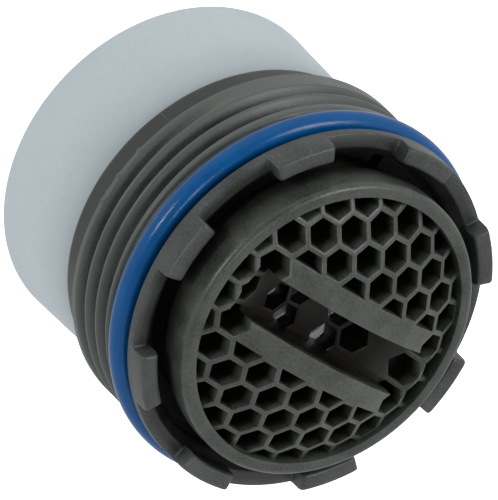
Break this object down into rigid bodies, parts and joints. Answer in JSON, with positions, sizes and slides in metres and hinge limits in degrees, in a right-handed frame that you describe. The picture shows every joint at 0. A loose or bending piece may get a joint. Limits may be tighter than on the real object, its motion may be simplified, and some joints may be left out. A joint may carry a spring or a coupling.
{
  "type": "tap aerator",
  "caption": "Recessed screw-in tap aerator with a castellated ring, seal ring and swivelling domed honeycomb nozzle that a coin slot tilts to aim the stream",
  "frame": {"origin": "centre of the inlet rim, on which the aerator stands", "axes": "Z from the inlet to the outlet along the thread axis, X along the coin slot"},
  "size_m": [0.0192, 0.0192, 0.0175],
  "materials": {
    "grey_plastic": "satin moulded",
    "nozzle_plastic": "satin moulded",
    "blue_rubber": "semi-gloss",
    "black_rubber": "matt",
    "pale_plastic": "smooth matt",
    "insert_plastic": "smooth matt",
    "seat_plastic": "smooth",
    "strainer_plastic": "smooth matt",
    "cartridge_plastic": "smooth matt"
  },
  "bodies": {
    "housing": {"threaded_housing": "grey_plastic", "housing_o_ring": "blue_rubber", "ball_seal": "black_rubber", "cartridge_sleeve": "pale_plastic", "inlet_strainer": "strainer_plastic", "regulator_body": "cartridge_plastic", "regulator_ring": "black_rubber", "jet_splitter": "cartridge_plastic", "mixing_grid": "cartridge_plastic"},
    "seat": {"seat_ring": "seat_plastic"},
    "nozzle": {"swivel_nozzle": "nozzle_plastic", "nozzle_insert": "insert_plastic"}
  },
  "joints": [
    {"name": "nozzle_spin", "type": "hinge", "parent": "housing", "child": "seat", "pos_m": [0, 0, 0.01], "axis": [0, 0, 1], "continuous": true},
    {"name": "nozzle_tilt", "type": "hinge", "parent": "seat", "child": "nozzle", "pos_m": [0, 0, 0.01], "axis": [0, 1, 0], "range_deg": [-6, 6]}
  ]
}
